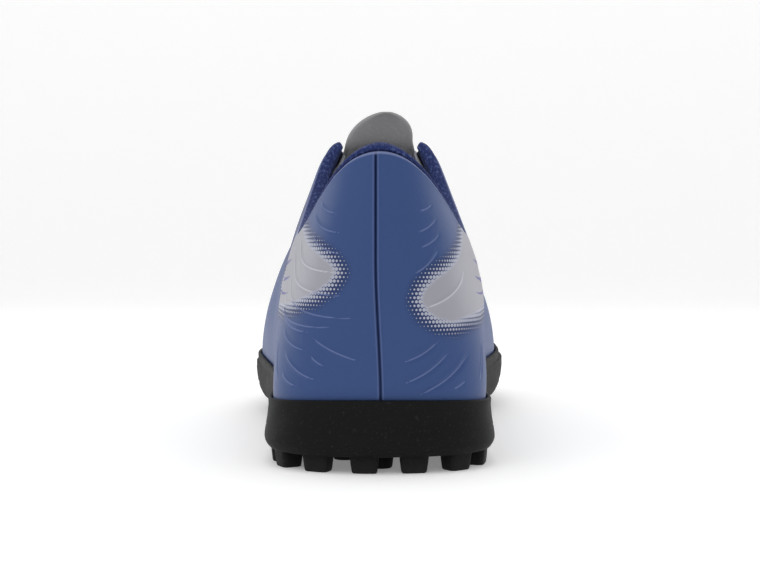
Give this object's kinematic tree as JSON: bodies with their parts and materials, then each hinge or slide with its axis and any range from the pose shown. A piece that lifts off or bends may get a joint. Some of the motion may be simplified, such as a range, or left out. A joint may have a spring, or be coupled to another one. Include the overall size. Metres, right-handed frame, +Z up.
{
  "type": "turf shoe",
  "caption": "left turf shoe with a hollow synthetic upper, padded knit collar, free tongue, laces and a lugged rubber outsole",
  "frame": {"origin": "under the middle of the shoe's box, on the floor that the lugs stand on", "axes": "+Y towards the toe, +X towards the inner side of this left shoe, +Z up"},
  "size_m": [0.0958, 0.28, 0.1064],
  "materials": {
    "rubber": "moulded black rubber, satin",
    "synthetic": "smooth coated synthetic, satin blue with silver",
    "insole": "fabric-topped foam",
    "knit": "knitted mesh over foam",
    "tongue": "pale padded synthetic textile",
    "lace": "flat woven lace"
  },
  "bodies": {
    "root": {"outsole": "rubber", "upper": "synthetic", "insole": "insole", "collar_lining": "knit", "tongue": "tongue", "laces": "lace"}
  },
  "joints": []
}
